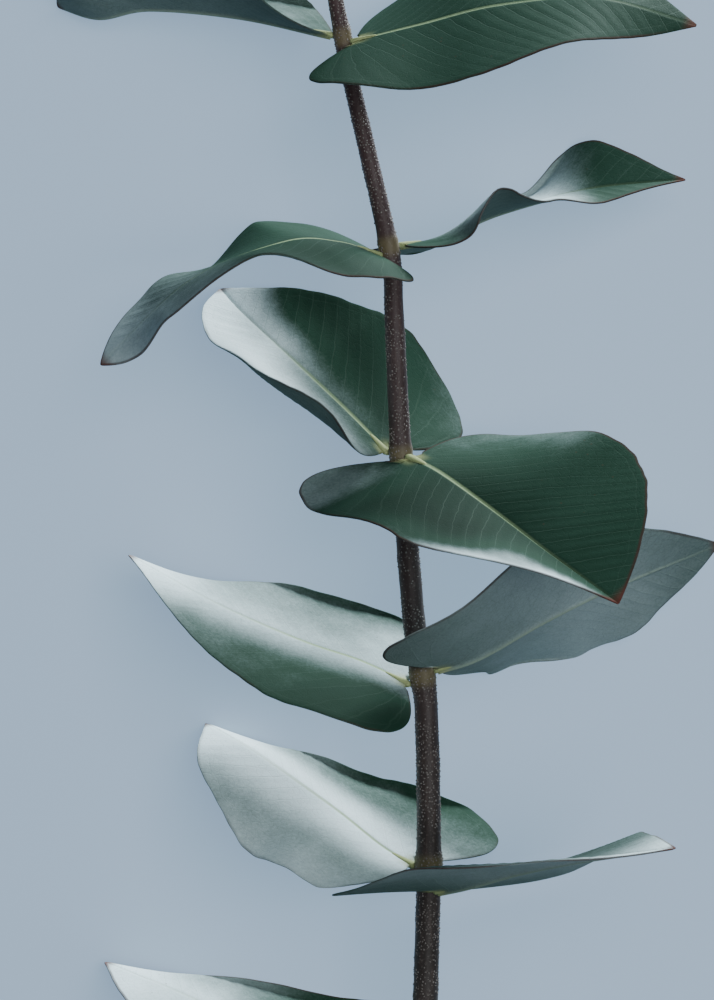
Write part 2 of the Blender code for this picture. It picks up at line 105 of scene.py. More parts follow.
# Leaf values. One pale table per leaf gives how pale the upper face is, in rows from the left edge to the right edge,
# each from the stalk to the tip;
# another gives the under face from the stalk to the tip. The pale level is partly the real waxy coat and partly painted
# highlight where light falls, and levels below zero on the upper face are painted shade, a darker green.
LARGE_LEAVES = {
    "leaf_1_left": {
        "joint": 1, "width": 46.0, "lobes": (0.6, 1.0),
        "wax_and_light": ((0.30, 0.55, 0.8, 0.9), (0.28, 0.50, 0.8, 0.9), (0.08, 0.20, 0.65, 0.9),
                  (0.0, 0.0, 0.40, 0.8), (0.0, 0.0, 0.40, 0.8)),
        "under_wax_and_light": (0.3, 0.3),
        "midrib": ((-2, 0.5, 0), (-16, 2.5, -2), (-30, 7, -6), (-44, 12.5, -10), (-55.5, 16, -17)),
        "roll": (-30, -30, -25),
        "left": ((20, 10), (15, 0), (5, 0)),
        "right": ((-10, 0), (-15, 0), (-20, 0)),
    },
    "leaf_1_right": {
        "joint": 1, "width": 45.0, "lobes": (0.3, 0.2),
        "wax_and_light": ((0.3, 0.3), (0.2, 0.3)),
        "under_wax_and_light": (0.3, 0.3),
        "midrib": ((2, -1, 1), (13, -4, 5), (26, -8, 9), (38, -11, 11), (49, -15, 10)),
        "roll": (14, 8, 2),
        "left": ((12, 0), (8, 0), (4, 0)),
        "right": ((8, -6), (4, -8), (0, -6)),
    },
    "leaf_2_left": {
        "joint": 2, "width": 46.0, "widest": 0.20, "lobes": (0.0, 1.9),
        "wax_and_light": ((0.50, 0.50, 0.60, 0.8), (0.36, 0.36, 0.40, 0.7), (0.85, 0.95, 1.0, 1.0),
                  (0.22, 0.18, 0.34, 0.70), (0.0, 0.04, 0.28, 0.70)),
        "under_wax_and_light": (0.2, 0.2),
        "midrib": ((-2, -0.2, -1), (-8, 2.8, -3), (-16.5, 9.4, -5), (-30, 18.5, -10), (-38.7, 22.7, -20)),
        "roll": (-30, -35, -35),
        "left": ((21, 0), (17, 0), (4, 0), (4, 0), (10, 0)),
        "right": ((-8, 0), (-28, 0), (-35, 0)),
    },
    "leaf_2_right": {
        "joint": 2, "width": 47.0, "lobes": (0.3, 1.6),
        "wax_and_light": ((0.15, 0.1, 0.2, 0.7), (0.1, 0.1, 0.3, 0.9)),
        "under_wax_and_light": (0.1, 0.5, 0.7, 0.9),
        "midrib": ((1, -4.3, 2), (6.5, -2.6, 8), (14.5, 0.8, 18), (23.5, 4, 30), (37.5, 7.5, 44)),
        "roll": (-6, -6, 0, 6),
        "left": ((6, 0), (13, 0), (14, 0)),
        "right": ((5, -16), (6, -12), (0, 0)),
    },
    "leaf_3_left": {
        "joint": 3, "width": 45.0, "lobes": (0.95, 0.7),
        "wax_and_light": ((-0.2, 0.0, 0.10, 0.8), (-0.2, 0.06, 0.20, 0.85), (0.50, 0.52, 0.60, 0.95),
                  (0.56, 0.32, 0.40, 0.85), (0.16, 0.12, 0.26, 0.75)),
        "under_wax_and_light": (0.1, 0.2),
        "midrib": ((-2, -0.9, 0), (-10.5, 2.5, -1), (-21, 6, -3), (-36, 12.5, -5), (-50.5, 20.5, -8)),
        "roll": (-22, -22, -16),
        "left": ((1, -5), (1, -5), (1, -5)),
        "right": ((0, 0), (0, 0), (-12, 0)),
    },
    "leaf_3_right": {
        "joint": 3, "width": 46.0, "widest": 0.34, "lobes": (0.3, 1.45), "blunt": 0.3,
        "wax_and_light": ((0.35, 0.40, 0.35), (0.45, 0.45, 0.35)),
        "under_wax_and_light": (0.28, 0.62, 0.24),
        "midrib": ((2, 0.8, 1), (9.5, 3.5, 2), (20.5, 9.5, 1), (33, 15.5, 0), (50.5, 22.5, -2)),
        "roll": (-37, -37, -25),
        "left": ((30, 0), (28, 0), (16, 0), (2, 0), (-8, 0)),
        "right": ((-19, 0), (-8, 0), (0, 0)),
    },
    "leaf_4_left": {
        "joint": 4, "width": 46.0, "lobes": (0.1, 1.3), "blunt": 0.15,
        "wax_and_light": ((0.40, 0.85, 1.0, 1.0), (0.40, 0.90, 1.0, 1.0), (0.05, 0.20, 0.60, 1.0),
                  (0.0, -0.2, -0.4, 0.2), (0.15, 0.0, -0.2, -0.2)),
        "under_wax_and_light": (0.0, 0.0),
        "midrib": ((-2, 0.9, 0), (-9.5, 8, -4), (-19, 17, -8), (-27.5, 25, -13), (-31.5, 29.5, -18)),
        "roll": (-40, -40, -40),
        "left": ((22, 62), (16, 50), (12, 0)),
        "right": ((-15, 0), (0, 0), (15, 0)),
    },
    "leaf_4_right": {
        "joint": 4, "width": 50.0, "widest": 0.45, "lobes": (1.0, 2.0), "blunt": 0.5,
        "wax_and_light": ((0.2, 0.2, 0.0, -0.1, 0.0), (0.1, 0.0, -0.1, -0.1, 0.0), (0.0, -0.4, -0.4, -0.3, 0.0),
                  (0.25, -0.5, -0.6, 0.45, 1.0), (0.35, -0.3, 0.1, 1.0, 1.0)),
        "under_wax_and_light": (0.3, 0.3),
        "midrib": ((2, -0.4, 1), (6.5, -3, 8), (14.5, -9, 17), (24, -16.5, 27), (34, -24, 36)),
        "roll": (22, 33, 33),
        "left": ((-9, 0), (2, 0), (8, 0)),
        "right": ((0, 0), (30, 0), (48, 0)),
    },
    "leaf_5_left": {
        "joint": 5, "width": 42.0, "lobes": (0.7, 0.1), "blunt": 0.4,
        "wax_and_light": ((-0.3, -0.2, 0.30, 0.62), (-0.3, -0.2, 0.28, 0.60), (0.0, -0.1, 0.24, 0.56),
                  (0.0, -0.1, 0.24, 0.56), (0.0, 0.0, 0.20, 0.50)),
        "under_wax_and_light": (0.2, 0.2),
        "midrib": ((-2, -1, 1), (-8.5, 0.5, 4), (-17.5, 0.2, 8), (-33, -6.5, 12), (-48, -20.5, 12)),
        "roll": (-8, -8, -8),
        "left": ((-10, -5), (-9, -8), (8, 0), (2, 0), (-30, 0)),
        "right": ((8, 0), (4, 0), (-11, 0), (2, 0), (16, 0)),
    },
    "leaf_5_right": {
        "joint": 5, "width": 42.0, "lobes": (0.2, 0.5),
        "wax_and_light": ((0.0, 0.1, 0.5, 0.0, 0.0), (0.0, 0.35, 0.65, 0.0, 0.0), (0.0, 0.5, 0.75, 0.0, 0.0),
                  (0.1, 0.5, 0.5, 0.1, 0.2)),
        "under_wax_and_light": (0.1, 0.2),
        "midrib": ((2, 0, -1), (9, 2, -4), (19, 6.5, -7), (34.5, 10.5, -8), (51, 12, -6)),
        "roll": (3, 0, 2, 32, 15),
        "left": ((-3, 0), (-10, 0), (-1, 0), (10, 8), (20, 20)),
        "right": ((-2, 0), (15, 0), (4, 0), (22, 0), (10, 0)),
    },
    "leaf_6_left": {
        "joint": 6, "width": 44.0, "lobes": (-1.0, -0.9), "blunt": 0.7,
        "wax_and_light": ((0.12, 0.20, 0.20, 0.16), (0.12, 0.20, 0.20, 0.16)),
        "under_wax_and_light": (0.06, 0.20, 0.26, 0.24),
        "midrib": ((-2, 1, -1), (-17.5, 4.5, -5), (-33.5, 6.5, -10), (-42.5, 5.5, -14), (-50, 8, -18)),
        "roll": (-14, -20, -20),
        "left": ((10, 20), (36, 20), (40, 20)),
        "right": ((0, 0), (0, 0), (0, 0)),
    },
    "leaf_6_right": {
        "joint": 6, "width": 47.0, "widest": 0.36, "lobes": (0.2, 1.2),
        "wax_and_light": ((0.0, 0.0, -0.3), (-0.4, 0.0, -0.3)),
        "under_wax_and_light": (0.3, 0.3),
        "midrib": ((2, -1, 1), (13, 1.5, 5), (26, 4, 10), (42.5, 4.5, 14), (58.5, 0, 15)),
        "roll": (28, 39, 24, 40),
        "left": ((0, 0), (0, 0), (0, 0)),
        "right": ((0, 0), (0, 0), (-10, 0), (-14, 0)),
    },
}
UPPER_PAIRS = {
    7: (47.0, 38.0, 26.0, 34.0),
    8: (38.0, 30.0, 32.0, -40.0),
    9: (29.0, 21.0, 38.0, 38.0),
    10: (20.0, 13.0, 44.0, -36.0),
    11: (12.0, 6.5, 50.0, 36.0),
}
UPPER_ARCH = 34.0

BUD_LENGTH = 9.0
BUD_WIDTH = 3.0
BUD_DEPTH = 1.8

# The finer forms of the visible pieces.
BLADE_HALF = 0.19
MARGIN_HALF = 0.11
MARGIN_FALL = 0.7
MIDRIB_RISE = 0.62
MIDRIB_WIDTH = 0.55
MIDRIB_GROOVE = 0.10
RIM_OUT = 0.07
QUILT_RISE = 0.05
EDGE_WOBBLE = 0.16
CAMERA_RISE = 550.0
VIEW_HEIGHT = 170.0
LATERAL_GAP = 3.3
LATERAL_SLANT = 0.70
LATERAL_BOW = 0.012
FAN_GAP = 11.0
UPPER_BLOOM = ((0.30, 0.25), (0.30, 0.25))


def unit(vectors):
    """Vectors at length one."""
    return vectors / np.linalg.norm(vectors, axis=-1, keepdims=True)


def smooth_path(points, count):
    """A Catmull-Rom curve through the points, read at evenly spaced places, and its length."""
    knots = np.array(points, float)
    knots = np.vstack([2 * knots[0] - knots[1], knots, 2 * knots[-1] - knots[-2]])
    fine = []
    for a, b, c, d in zip(knots, knots[1:], knots[2:], knots[3:]):
        for t in np.linspace(0.0, 1.0, 24, endpoint=False):
            cubic = (3 * b - a - 3 * c + d) * t**3
            fine.append(0.5 * (2 * b + (c - a) * t + (2 * a - 5 * b + 4 * c - d) * t**2 + cubic))
    fine.append(knots[-2])
    fine = np.array(fine)
    run = np.concatenate([[0.0], np.cumsum(np.linalg.norm(np.diff(fine, axis=0), axis=1))])
    places = np.linspace(0.0, run[-1], count)
    return np.stack([np.interp(places, run, fine[:, k]) for k in range(3)], axis=1), run[-1]


def keyed(values, share):
    """Values given from the stalk to the tip, joined smoothly and read at shares of the length."""
    values = np.array(values, float)
    place = np.clip(share, 0.0, 1.0) * (len(values) - 1)
    index = np.minimum(place.astype(int), len(values) - 2)
    step = place - index
    step = step * step * (3.0 - 2.0 * step)
    return values[index] * (1.0 - step) + values[index + 1] * step


def bezier(points, t):
    """A cubic Bezier curve's points."""
    a, b, c, d = np.array(points, float)
    t = t[:, None]
    return (1 - t) ** 3 * a + 3 * (1 - t) ** 2 * t * b + 3 * (1 - t) * t**2 * c + t**3 * d


def leaf_edge(place, widest, lobe_reach, blunt):
    """The flat leaf's edge from the stalk (0) round to the tip (1), as along and across."""
    turn = (widest, 1.0)
    curve = [(along * lobe_reach, across) for along, across in LOBE_CURVE]
    lobe = bezier(curve + [turn], np.clip(place / LOBE_SHARE, 0.0, 1.0))
    shoulder = (widest + SHOULDER, 1.0)
    nearing = tuple(near + blunt * shift for near, shift in zip(TIP_CURVE[0], BLUNT_SHIFT))
    past_lobe = (place - LOBE_SHARE) / (1.0 - LOBE_SHARE)
    tip = bezier((turn, shoulder, nearing, TIP_CURVE[1]), np.clip(past_lobe, 0.0, 1.0))
    return np.where((place < LOBE_SHARE)[:, None], lobe, tip)


def stem_line():
    """The stem's centre line and its radius along it, with a swelling at each joint."""
    line = smooth_path([(x, y, z + STEM_HEIGHT) for x, y, z in STEM_PATH], STEM_SAMPLES)[0]
    radius = np.interp(line[:, 1], RADIUS_ALONG, RADIUS_THERE)
    swelling = np.zeros(len(line))
    for along in [BARE_JOINT, *JOINTS.values()]:
        swelling = np.maximum(swelling, np.exp(-(((line[:, 1] - along) / JOINT_SWELLING_LENGTH) ** 2)))
    return line, radius * (1.0 + JOINT_SWELLING * swelling), swelling


class Blade:
    """A leaf's middle surface, bent along its midrib and across each half."""

    def __init__(self, leaf, stem):
        self.stem_line, self.stem_radius = stem[:2]
        height = JOINTS[leaf["joint"]]
        self.joint = np.array([np.interp(height, self.stem_line[:, 1], self.stem_line[:, k]) for k in range(3)])
        nearest = np.abs(self.stem_line[:, 1] - height).argmin()
        stem_way = unit(self.stem_line[nearest + 1] - self.stem_line[nearest - 1])
        offsets = np.array(leaf["midrib"], float)
        start = unit(offsets[1] - offsets[0])
        outward = unit(offsets[1] - offsets[1] @ stem_way * stem_way)
        reach = self.stem_radius[nearest] + SEAT_GAP + abs(start @ stem_way) * LEAF_THICKNESS / 2
        offsets[0] = outward * reach + stem_way * offsets[0][1]
        self.path, self.length = smooth_path(self.joint + offsets, 65)
        self.tangent = unit(np.gradient(self.path, axis=0))
        normals = [np.array(leaf.get("up", (0.0, 1.0, 0.0)))]
        for tangent in self.tangent:
            normals.append(unit(normals[-1] - normals[-1] @ tangent * tangent))
        self.normal = np.array(normals[1:])
        self.leaf = leaf
        self.half_width = leaf["width"] / 2.0

    def points(self, along, across, side):
        """Points at shares of the length and of the half width, on the left (-1) or right (1) half."""
        share = np.clip(along, 0.0, 1.0)
        place = share * (len(self.path) - 1)
        index = np.minimum(place.astype(int), len(self.path) - 2)
        step = (place - index)[..., None]
        middle = self.path[index] * (1 - step) + self.path[index + 1] * step
        middle = middle + np.minimum(along, 0.0)[..., None] * self.length * self.tangent[0]
        tangent = unit(self.tangent[index] * (1 - step) + self.tangent[index + 1] * step)
        normal = unit(self.normal[index] * (1 - step) + self.normal[index + 1] * step)
        sideways = np.cross(tangent, normal)
        roll = np.radians(keyed(self.leaf["roll"], share))[..., None]
        up = normal * np.cos(roll) + sideways * np.sin(roll)
        out = (sideways * np.cos(roll) - normal * np.sin(roll)) * side
        half = self.leaf["right" if side > 0 else "left"]
        lift = np.radians(keyed([pair[0] for pair in half], share))
        bend = np.radians(keyed([pair[1] for pair in half], share))
        steps = 12
        bent = np.zeros(middle.shape)
        for k in range(steps):
            angle = (lift + bend * (k + 0.5) / steps * across)[..., None]
            bent += (np.cos(angle) * out + np.sin(angle) * up) * (across * self.half_width / steps)[..., None]
        angle = (lift + bend * across)[..., None]
        facing = np.cos(angle) * up - np.sin(angle) * out
        wave = self.leaf.get("wave", (0.0, 2.0, 0.0))
        ripple = wave[0] * across**2 * np.sin(2 * np.pi * wave[1] * along + wave[2] + side)
        ripple = ripple * np.clip((1.0 - along) / 0.15, 0.0, 1.0)
        off_stalk = np.maximum(np.clip(across / 0.08, 0.0, 1.0), np.clip(along / 0.04, 0.0, 1.0))
        return self.settle(self.clear_of_stem(middle + bent + facing * ripple[..., None], off_stalk))

    def clear_of_stem(self, points, off_stalk):
        """Points too near the stem are moved straight out from it, less at the stalk (0) than past it (1)."""
        apart = points[..., None, :] - self.stem_line
        distance = np.linalg.norm(apart, axis=-1)
        nearest = distance.argmin(-1)
        wanted = self.stem_radius[nearest] + SEAT_GAP + (LEAF_THICKNESS / 2 + LOBE_GAP) * off_stalk
        centre = self.stem_line[nearest]
        moved = centre + unit(points - centre) * wanted[..., None]
        return np.where((distance.min(-1) < wanted)[..., None], moved, points)

    def settle(self, points):
        """What would reach below the table bends to lie flat on it."""
        height = points[..., 2] - LEAF_THICKNESS / 2
        soft = (height + LAY_FLAT_OVER) ** 2 / (4 * LAY_FLAT_OVER)
        laid = np.where(height < -LAY_FLAT_OVER, 0.0, np.where(height > LAY_FLAT_OVER, height, soft))
        points[..., 2] = laid + LEAF_THICKNESS / 2
        return points


def upper_leaf(joint, side, stem, chance):
    """A leaf of one of the upper pairs, which follow a rule."""
    length, width, rise, turn = UPPER_PAIRS[joint]
    turn = math.radians(turn + chance.uniform(-6.0, 6.0))
    line = stem[0]
    nearest = np.abs(line[:, 1] - JOINTS[joint]).argmin()
    up = unit(line[nearest + 1] - line[nearest - 1])
    across = unit(np.cross(up, (0.0, 0.0, 1.0)))
    outward = side * (across * math.cos(turn) - np.cross(across, up) * math.sin(turn))
    points = [np.zeros(3)]
    bits = 4
    for k in range(bits):
        angle = math.radians(rise + UPPER_ARCH * (0.5 - k / (bits - 1)))
        step = outward * math.cos(angle) + up * math.sin(angle)
        points.append(points[-1] + step * length / bits)
    lift = chance.uniform(8.0, 16.0) * (1.0 if joint < 9 else 0.2)
    bend = chance.uniform(-10.0, 4.0)
    return {
        "joint": joint, "width": width, "midrib": [tuple(point) for point in points],
        "up": tuple(up), "lobes": (-0.5, -0.5),
        "roll": (chance.uniform(-8.0, 8.0), chance.uniform(-8.0, 8.0)),
        "left": ((lift, bend), (lift, bend)), "right": ((lift, bend), (lift, bend)),
        "wave": (width * 0.018, chance.uniform(1.4, 2.2), chance.uniform(0.0, 6.0)),
    }


def to_world(points):
    """Millimetres along the branch as metres in the row's frame."""
    return (np.asarray(points) - (BOX_MIDDLE[0], BOX_MIDDLE[1], 0.0)) * MM


def mesh_object(name, points, faces, finish, attributes=None):
    """A smooth mesh piece from points in the row's frame, with a number or vector kept at each point."""
    mesh = bpy.data.meshes.new(name)
    mesh.from_pydata([tuple(point) for point in points], [], faces)
    for key, values in (attributes or {}).items():
        values = np.asarray(values, np.float32)
        kind, field = ("FLOAT", "value") if values.ndim == 1 else ("FLOAT_VECTOR", "vector")
        mesh.attributes.new(key, kind, "POINT").data.foreach_set(field, values.ravel())
    mesh.materials.append(finish)
    mesh.shade_smooth()
    made = bpy.data.objects.new(name, mesh)
    bpy.context.scene.collection.objects.link(made)
    return made


class Value:
    """A node's output that can stand in a Python sum."""

    def __init__(self, sheet, socket):
        self.sheet = sheet
        self.socket = socket

    def __add__(self, other):
        return self.sheet.sum("ADD", self, other)

    def __radd__(self, other):
        return self.sheet.sum("ADD", other, self)

    def __sub__(self, other):
        return self.sheet.sum("SUBTRACT", self, other)

    def __rsub__(self, other):
        return self.sheet.sum("SUBTRACT", other, self)

    def __mul__(self, other):
        return self.sheet.sum("MULTIPLY", self, other)

    def __rmul__(self, other):
        return self.sheet.sum("MULTIPLY", other, self)

    def __truediv__(self, other):
        return self.sheet.sum("DIVIDE", self, other)

    def __rtruediv__(self, other):
        return self.sheet.sum("DIVIDE", other, self)

    def __pow__(self, other):
        return self.sheet.sum("POWER", self, other)


class Sheet:
    """A node tree that is written as Python sums."""

    def __init__(self, tree):
        self.tree = tree

    def node(self, kind, settings=None, values=None, output=0):
        """One node: its settings first, then the values or links of its sockets."""
        made = self.tree.nodes.new(kind)
        for key, setting in (settings or {}).items():
            if key == "stops":
                ramp = made.color_ramp
                while len(ramp.elements) < len(setting):
                    ramp.elements.new(0.5)
                for stop, (place, colour) in zip(ramp.elements, setting):
                    stop.position = place
                    stop.color = colour
            else:
                setattr(made, key, setting)
        for key, value in (values or {}).items():
            socket = made.inputs[key]
            if isinstance(value, Value):
                self.tree.links.new(value.socket, socket)
            else:
                socket.default_value = value
        return Value(self, made.outputs[output])

    def sum(self, operation, *values):
        return self.node("ShaderNodeMath", {"operation": operation}, dict(enumerate(values)))

    def mix(self, share, first, second, blend="MIX"):
        """One colour passing into another as the share goes from 0 to 1."""
        return self.node("ShaderNodeMix", {"data_type": "RGBA", "blend_type": blend}, {0: share, 6: first, 7: second}, 2)

    def step(self, value, low, high):
        """0 below low, 1 above high and smooth between them."""
        settings = {"interpolation_type": "SMOOTHSTEP"}
        return self.node("ShaderNodeMapRange", settings, {"Value": value, "From Min": low, "From Max": high})

    def noise(self, place, scale, detail=2.0, roughness=0.5):
        values = {"Vector": place, "Scale": scale, "Detail": detail, "Roughness": roughness}
        return self.node("ShaderNodeTexNoise", {}, values)

    def kept(self, name):
        """The number kept in the mesh under that name."""
        return self.node("ShaderNodeAttribute", {"attribute_name": name}, output=2)

    def parts(self, name):
        """The three numbers kept in the mesh under that name."""
        vector = self.node("ShaderNodeAttribute", {"attribute_name": name}, output=1)
        split = self.node("ShaderNodeSeparateXYZ", {}, {0: vector})
        return vector, split, *[Value(self, split.socket.node.outputs[k]) for k in (1, 2)]


def paint(name, constants):
    """A material with its shader's constants set, as (material, sheet, shader)."""
    made = bpy.data.materials.new(name)
    made.use_nodes = True
    shader = made.node_tree.nodes["Principled BSDF"]
    for key, value in constants.items():
        shader.inputs[key].default_value = value
    return made, Sheet(made.node_tree), shader


def feed(sheet, shader, values):
    """Links what changes over the surface to the shader's sockets."""
    for key, value in values.items():
        sheet.tree.links.new(value.socket, shader.inputs[key])


def colour(red, green, blue):
    return (red, green, blue, 1.0)


def leaf_paint():
    """Dark green waxy blade: a pale waxy coat that is partly painted highlight, a darker green that is painted shade,
    midrib and veins, a fine net between them, a dark thin margin.
    """
    made, sheet, shader = paint("Waxy eucalyptus leaf", {
        "Specular IOR Level": 0.01,
    })
    spot = sheet.node("ShaderNodeTexCoord", output=3)
    flat, x, y, margin = sheet.parts("flat")
    _, share, under, wax_and_light = sheet.parts("look")
    tone = sheet.kept("tone")
    away = sheet.sum("ABSOLUTE", y)
    broad = sheet.noise(spot, 55.0, 3.0)
    cloud = sheet.noise(spot, 230.0, 3.0, 0.6)
    grain = sheet.noise(spot, 1900.0, 3.0, 0.65)
    flow = x - LATERAL_SLANT * away - LATERAL_BOW * away * away
    fan = FAN_GAP * flow / sheet.sum("SQRT", x * x + away * away + 1.0)
    ahead = sheet.sum("GREATER_THAN", flow, 0.0)
    order = (ahead * flow + (1.0 - ahead) * fan) / LATERAL_GAP
    order = order + (cloud - 0.5) * 0.34 + sheet.sum("GREATER_THAN", y, 0.0) * 0.46 + tone
    off_vein = sheet.sum("ABSOLUTE", sheet.sum("FRACT", order) - 0.5) * LATERAL_GAP
    fade = 1.0 - 0.7 * sheet.step(away, 3.0, 24.0)
    lateral = (1.0 - sheet.step(off_vein, 0.02, 0.20)) * fade
    loop = (1.0 - sheet.step(sheet.sum("ABSOLUTE", margin - 1.7 - (cloud - 0.5) * 1.6), 0.03, 0.17)) * 0.7
    thinning = 1.0 - 0.75 * share
    rib = (1.0 - sheet.step(away, 0.14, 0.62)) * sheet.step(thinning, 0.1, 0.6)
    bent = sheet.node("ShaderNodeVectorMath", {"operation": "ADD"}, {
        0: flat, 1: sheet.node("ShaderNodeVectorMath", {"operation": "SCALE"}, {
            0: sheet.node("ShaderNodeTexNoise", {}, {"Vector": flat, "Scale": 0.8}, 1), "Scale": 0.9})})
    cells = sheet.node("ShaderNodeTexVoronoi", {"feature": "DISTANCE_TO_EDGE", "voronoi_dimensions": "2D"},
                       {"Vector": bent, "Scale": 0.85})
    net = 1.0 - sheet.step(cells, 0.01, 0.085)
    small = sheet.node("ShaderNodeTexVoronoi", {"feature": "DISTANCE_TO_EDGE", "voronoi_dimensions": "2D"},
                       {"Vector": bent, "Scale": 2.3})
    mesh = 1.0 - sheet.step(small, 0.02, 0.12)
    veins = sheet.sum("MAXIMUM", sheet.sum("MAXIMUM", lateral, loop), rib)

    green = sheet.mix(broad, colour(0.011, 0.034, 0.020), colour(0.018, 0.046, 0.031))
    green = sheet.mix(cloud * 0.35, green, colour(0.026, 0.066, 0.046))
    green = sheet.mix(grain * 0.25, green, colour(0.040, 0.085, 0.064))
    # Painted shade: where the leaf's pale level is below zero the green turns a darker green.
    painted_shade = sheet.step(0.0 - wax_and_light + (cloud - 0.5) * 0.2, 0.0, 1.0)
    green = sheet.mix(painted_shade, green, colour(0.004, 0.013, 0.008))
    # The pale waxy coat here is partly real and partly painted highlight where light falls on the leaf.
    wax_and_painted_light = wax_and_light * 0.92 + (broad - 0.5) * 0.16 + (cloud - 0.5) * 0.16 + (grain - 0.5) * 0.18
    wax_and_painted_light = sheet.step(wax_and_painted_light, 0.0, 1.0)
    face = sheet.mix(wax_and_painted_light, green, colour(0.68, 0.83, 0.87))
    face = sheet.mix(net * 0.07 + mesh * 0.05, face, colour(0.016, 0.035, 0.024))
    face = sheet.mix(lateral * 0.07 + loop * 0.04, face, colour(0.20, 0.30, 0.24))
    face = sheet.mix(rib * (0.85 - 0.65 * sheet.step(share, 0.22, 0.75)), face, colour(0.26, 0.36, 0.20))
    back = sheet.mix(broad, colour(0.060, 0.100, 0.088), colour(0.095, 0.145, 0.132))
    back = sheet.mix(grain * 0.30, back, colour(0.150, 0.210, 0.195))
    # The under face's pale coat is partly painted highlight as well.
    back = sheet.mix(wax_and_painted_light * 0.80, back, colour(0.50, 0.60, 0.62))
    back = sheet.mix(net * 0.12 + mesh * 0.10, back, colour(0.022, 0.040, 0.034))
    back = sheet.mix(lateral * 0.26 + loop * 0.12, back, colour(0.20, 0.28, 0.25))
    back = sheet.mix(rib * 0.70, back, colour(0.24, 0.31, 0.24))
    skin = sheet.mix(under, face, back)
    fleck = sheet.node("ShaderNodeTexVoronoi", {}, {"Vector": spot, "Scale": 420.0})
    fleck = (1.0 - sheet.step(fleck, 0.04, 0.10)) * sheet.step(broad, 0.52, 0.62)
    skin = sheet.mix(fleck * 0.55, skin, colour(0.070, 0.045, 0.028))
    rim = (1.0 - sheet.step(margin, 0.18, 0.50)) * sheet.step(broad + tone * 0.25, 0.30, 0.62)
    skin = sheet.mix(rim * 0.72, skin, colour(0.050, 0.022, 0.020))
    tip = sheet.step(share, 0.955, 0.995)
    skin = sheet.mix(tip * 0.8, skin, colour(0.10, 0.035, 0.028))
    neck = (1.0 - sheet.step(share, 0.0, 0.07)) * (1.0 - sheet.step(away, 0.9, 3.2))
    skin = sheet.mix(neck * 0.75, skin, colour(0.30, 0.33, 0.15))

    rough = 0.64 + wax_and_painted_light * 0.12 + (grain - 0.5) * 0.10 - veins * 0.05
    raised = under * 1.4 - 0.4
    relief = raised * (lateral * 0.55 + loop * 0.30 + rib * 0.4 + net * 0.30 + mesh * 0.10) + grain * 0.22 + cloud * 0.4
    bump = sheet.node("ShaderNodeBump", {}, {"Strength": 1.0, "Distance": 0.00011, "Height": relief})
    feed(sheet, shader, {"Base Color": skin, "Roughness": rough, "Normal": bump})
    glow = made.node_tree.nodes.new("ShaderNodeBsdfTranslucent")
    through = sheet.mix(0.35, skin, colour(0.16, 0.28, 0.15))
    made.node_tree.links.new(through.socket, glow.inputs["Color"])
    both = made.node_tree.nodes.new("ShaderNodeMixShader")
    both.inputs[0].default_value = 0.09
    made.node_tree.links.new(shader.outputs[0], both.inputs[1])
    made.node_tree.links.new(glow.outputs[0], both.inputs[2])
    made.node_tree.links.new(both.outputs[0], made.node_tree.nodes["Material Output"].inputs["Surface"])
    return made


def bark_paint():
    """Thin brown bark: fine lengthwise cracks, paler green-brown joints, and the pale wood of the cut."""
    made, sheet, shader = paint("Brown bark", {
        "Specular IOR Level": 0.2,
        "Sheen Weight": 0.12,
        "Sheen Roughness": 0.3,
        "Sheen Tint": colour(0.9, 0.95, 1.0),
    })
    spot = sheet.node("ShaderNodeTexCoord", output=3)
    drawn = sheet.node("ShaderNodeMapping", {}, {"Vector": spot, "Scale": (1.0, 0.16, 1.0)})
    streak = sheet.noise(drawn, 1500.0, 4.0, 0.6)
    patch = sheet.noise(spot, 140.0, 3.0)
    speck = sheet.noise(spot, 2600.0, 2.0)
    joint = sheet.kept("joint")
    cut = sheet.kept("cut")
    young = sheet.kept("young")
    bark = sheet.mix(patch, colour(0.014, 0.012, 0.011), colour(0.040, 0.031, 0.028))
    bark = sheet.mix(young * 0.5, bark, colour(0.078, 0.038, 0.043))
    bark = sheet.mix(sheet.step(streak, 0.50, 0.72) * 0.5, bark, colour(0.070, 0.050, 0.044))
    bark = sheet.mix(sheet.step(speck, 0.56, 0.72) * 0.35, bark, colour(0.16, 0.14, 0.128))
    bark = sheet.mix(sheet.step(joint, 0.35, 1.0) * 0.42, bark, colour(0.17, 0.15, 0.070))
    wood = sheet.mix(sheet.noise(spot, 3200.0, 2.0), colour(0.42, 0.37, 0.22), colour(0.60, 0.55, 0.38))
    skin = sheet.mix(sheet.step(cut, 0.80, 0.98), bark, wood)
    relief = streak * 0.6 + speck * 0.5 + patch * 0.4
    bump = sheet.node("ShaderNodeBump", {}, {"Strength": 1.0, "Distance": 0.00012, "Height": relief})
    feed(sheet, shader, {"Base Color": skin, "Roughness": 0.52 + (streak - 0.5) * 0.25, "Normal": bump})
    return made


def gland_paint():
    """The tiny warts on the bark, a little paler and shinier than it."""
    made, sheet, shader = paint("Bark glands", {"Specular IOR Level": 0.3})
    spot = sheet.node("ShaderNodeTexCoord", output=3)
    patch = sheet.noise(spot, 900.0, 2.0)
    skin = sheet.mix(patch, colour(0.060, 0.050, 0.046), colour(0.22, 0.20, 0.185))
    feed(sheet, shader, {"Base Color": skin, "Roughness": 0.40 + patch * 0.15})
    return made


